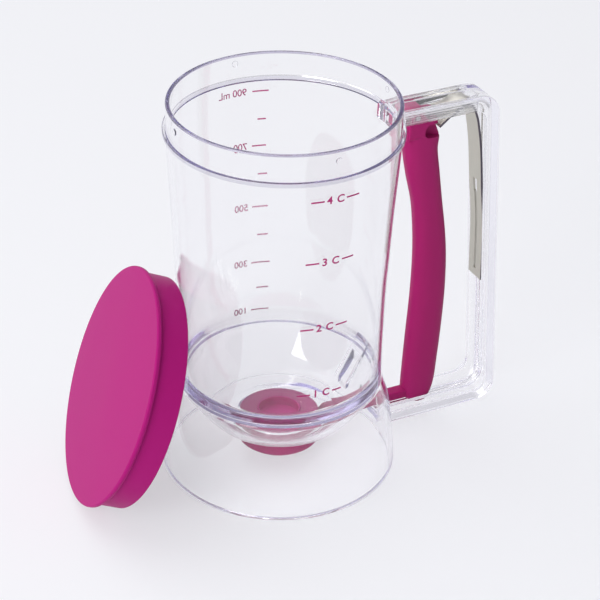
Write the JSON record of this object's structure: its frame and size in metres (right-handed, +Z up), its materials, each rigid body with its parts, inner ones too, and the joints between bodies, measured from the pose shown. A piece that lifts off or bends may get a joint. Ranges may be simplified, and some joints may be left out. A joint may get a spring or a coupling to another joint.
{
  "type": "batter dispenser",
  "caption": "Clear measuring jar with a funnel outlet, a squeeze lever in its handle that opens the outlet, and a push-on lid that leans beside it.",
  "frame": {"origin": "middle of the bounding box on the table, lid included; the jar's own axis stands at x = -4.89 mm, y = -3.32 mm", "axes": "+X from the jar towards its handle, +Y to the left of the handle, +Z up along the jar"},
  "size_m": [0.2198, 0.1172, 0.186],
  "materials": {
    "clear_plastic": "clear, polished",
    "magenta_plastic": "satin",
    "magenta_seal": "satin",
    "spring_steel": "brushed",
    "pin_steel": "ground"
  },
  "bodies": {
    "jar": {"measuring_tube": "clear_plastic", "funnel_bowl": "clear_plastic", "foot_skirt": "clear_plastic", "handle_frame": "clear_plastic", "hinge_pin": "pin_steel", "leaf_spring": "spring_steel"},
    "lever": {"trigger_grip": "magenta_plastic", "valve_arm": "magenta_plastic", "valve_cup": "magenta_plastic", "valve_seal": "magenta_seal"},
    "lid": {"lid": "magenta_plastic"}
  },
  "joints": [
    {"name": "lever_squeeze", "type": "hinge", "parent": "jar", "child": "lever", "pos_m": [0.05911, -0.00332, 0.1672], "axis": [0, -1, 0], "range_deg": [0, 6.5], "stiffness_Nm_per_rad": 2, "springref_deg": -4.58, "deforming": ["leaf_spring"]},
    {"name": "lid_lift", "type": "slide", "parent": "jar", "child": "lid", "axis": [-0.913, 0.1891, 0.3616], "range_m": [0, 0.12]}
  ]
}
